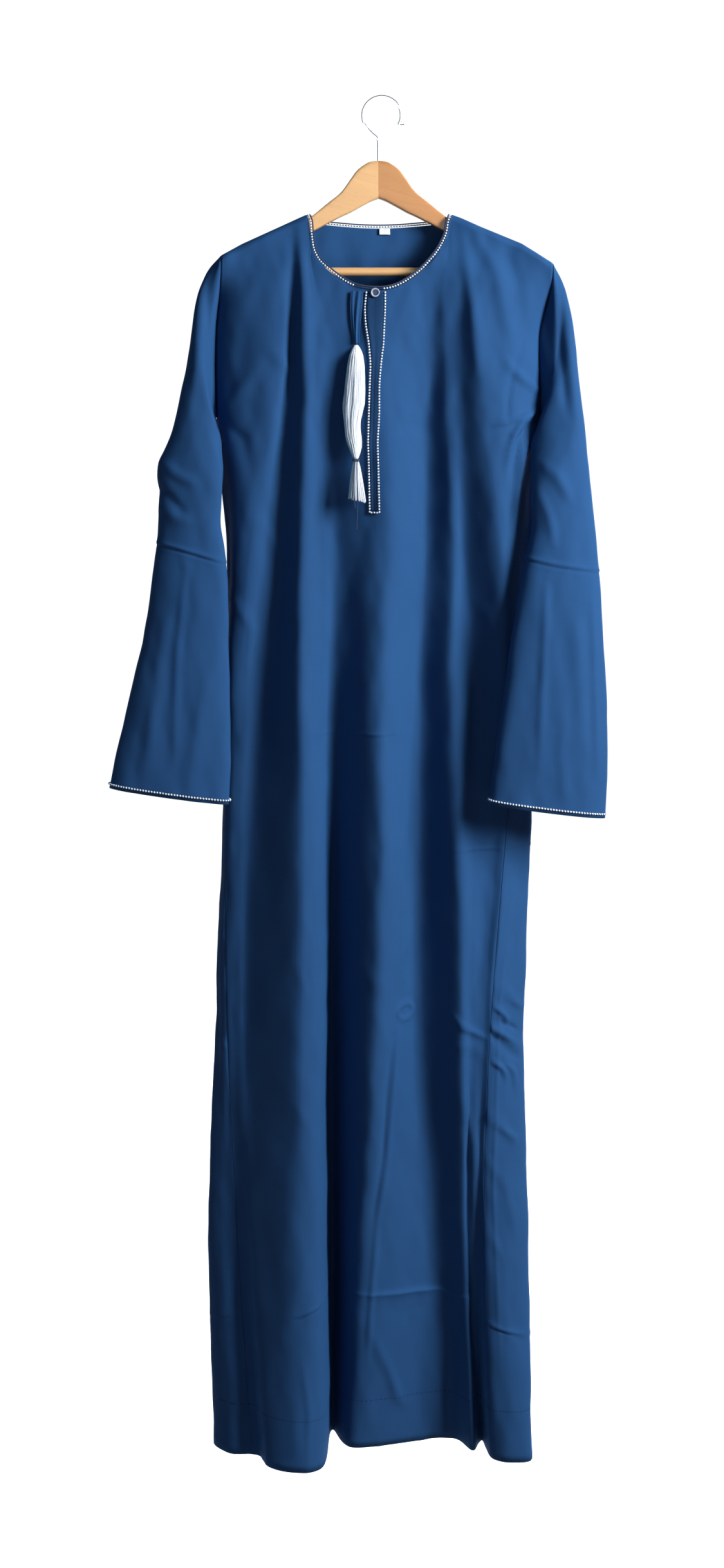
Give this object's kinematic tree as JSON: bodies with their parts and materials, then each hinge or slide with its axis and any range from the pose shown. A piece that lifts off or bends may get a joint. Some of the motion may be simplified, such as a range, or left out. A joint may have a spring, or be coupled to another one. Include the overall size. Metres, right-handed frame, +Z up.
{
  "type": "thobe robe on wooden hanger",
  "caption": "Blue cotton thobe robe with white cord trim, open neck, placket and tassel, hanging on a wooden clothes hanger",
  "frame": {"origin": "inside top of the hanger's hook, where it bears on a rail", "axes": "+Z up along the hanging robe, -Y out of its front, +X to the right as the front is seen"},
  "size_m": [0.5893, 0.1564, 1.6103],
  "materials": {
    "cloth": "matte plain-woven cotton",
    "white_thread": "matte twisted thread",
    "dark_thread": "matte dark blue cloth and thread",
    "dark_button": "semi-gloss",
    "label_cloth": "matte white woven tape, blank",
    "hanger_wood": "clear lacquer",
    "hook_wire": "polished"
  },
  "bodies": {
    "root": {"front_panel": "cloth", "back_panel": "cloth", "sleeve_left": "cloth", "sleeve_right": "cloth", "neck_cord": "white_thread", "neck_lip": "dark_thread", "placket_band": "dark_thread", "placket_cord": "white_thread", "button": "dark_button", "tassel_tab": "cloth", "tassel": "white_thread", "tassel_tie": "dark_thread", "cuff_cord_left": "white_thread", "cuff_cord_right": "white_thread", "neck_label": "label_cloth", "hanger_arm_left": "hanger_wood", "hanger_arm_right": "hanger_wood", "hanger_bar": "hanger_wood", "hanger_hook": "hook_wire"}
  },
  "joints": []
}
